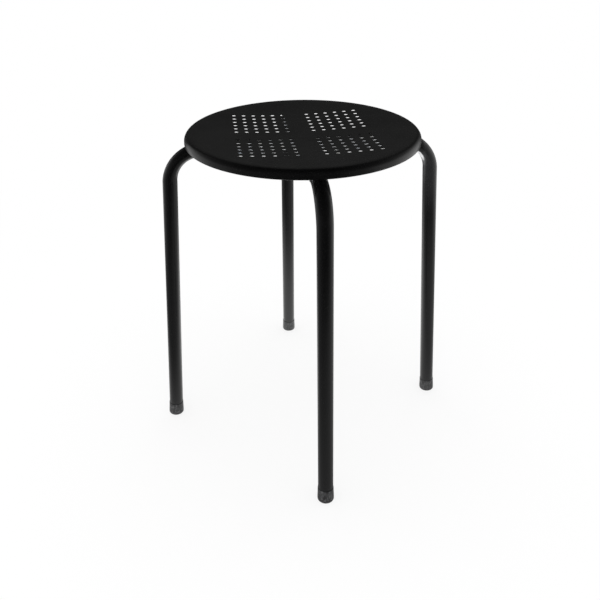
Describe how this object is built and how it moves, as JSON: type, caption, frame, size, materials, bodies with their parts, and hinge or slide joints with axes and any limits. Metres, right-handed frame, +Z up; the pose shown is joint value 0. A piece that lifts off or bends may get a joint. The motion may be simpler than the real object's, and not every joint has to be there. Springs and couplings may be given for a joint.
{
  "type": "stacking stool",
  "caption": "Round backless stool with a dished, pierced steel seat on splayed bent-tube legs that nest for stacking, screwed to a channel cross under the seat, with plastic foot caps.",
  "frame": {"origin": "on the floor, under the middle of the seat", "axes": "+Z up along the stool's axis; the legs stand on the X and Y axes, with the front leg on -Y"},
  "size_m": [0.4272, 0.4272, 0.45],
  "materials": {
    "black_powder_coat": "satin black powder coat with a very fine grain",
    "zinc_plate": "bright zinc-plated sheet steel, slightly blue",
    "grey_cap_plastic": "matte mottled grey moulded plastic",
    "black_plug_plastic": "matte black moulded plastic",
    "zinc_hardware": "bright zinc-plated screws and washers"
  },
  "bodies": {
    "root": {"seat_pan": "black_powder_coat", "channel_cross": "zinc_plate", "leg_front": "black_powder_coat", "foot_cap_front": "grey_cap_plastic", "end_plug_front": "black_plug_plastic", "saddle_washer_inner_front": "zinc_hardware", "leg_screw_inner_front": "zinc_hardware", "saddle_washer_outer_front": "zinc_hardware", "leg_screw_outer_front": "zinc_hardware", "leg_right": "black_powder_coat", "foot_cap_right": "grey_cap_plastic", "end_plug_right": "black_plug_plastic", "saddle_washer_inner_right": "zinc_hardware", "leg_screw_inner_right": "zinc_hardware", "saddle_washer_outer_right": "zinc_hardware", "leg_screw_outer_right": "zinc_hardware", "leg_back": "black_powder_coat", "foot_cap_back": "grey_cap_plastic", "end_plug_back": "black_plug_plastic", "saddle_washer_inner_back": "zinc_hardware", "leg_screw_inner_back": "zinc_hardware", "saddle_washer_outer_back": "zinc_hardware", "leg_screw_outer_back": "zinc_hardware", "leg_left": "black_powder_coat", "foot_cap_left": "grey_cap_plastic", "end_plug_left": "black_plug_plastic", "saddle_washer_inner_left": "zinc_hardware", "leg_screw_inner_left": "zinc_hardware", "saddle_washer_outer_left": "zinc_hardware", "leg_screw_outer_left": "zinc_hardware"}
  },
  "joints": []
}
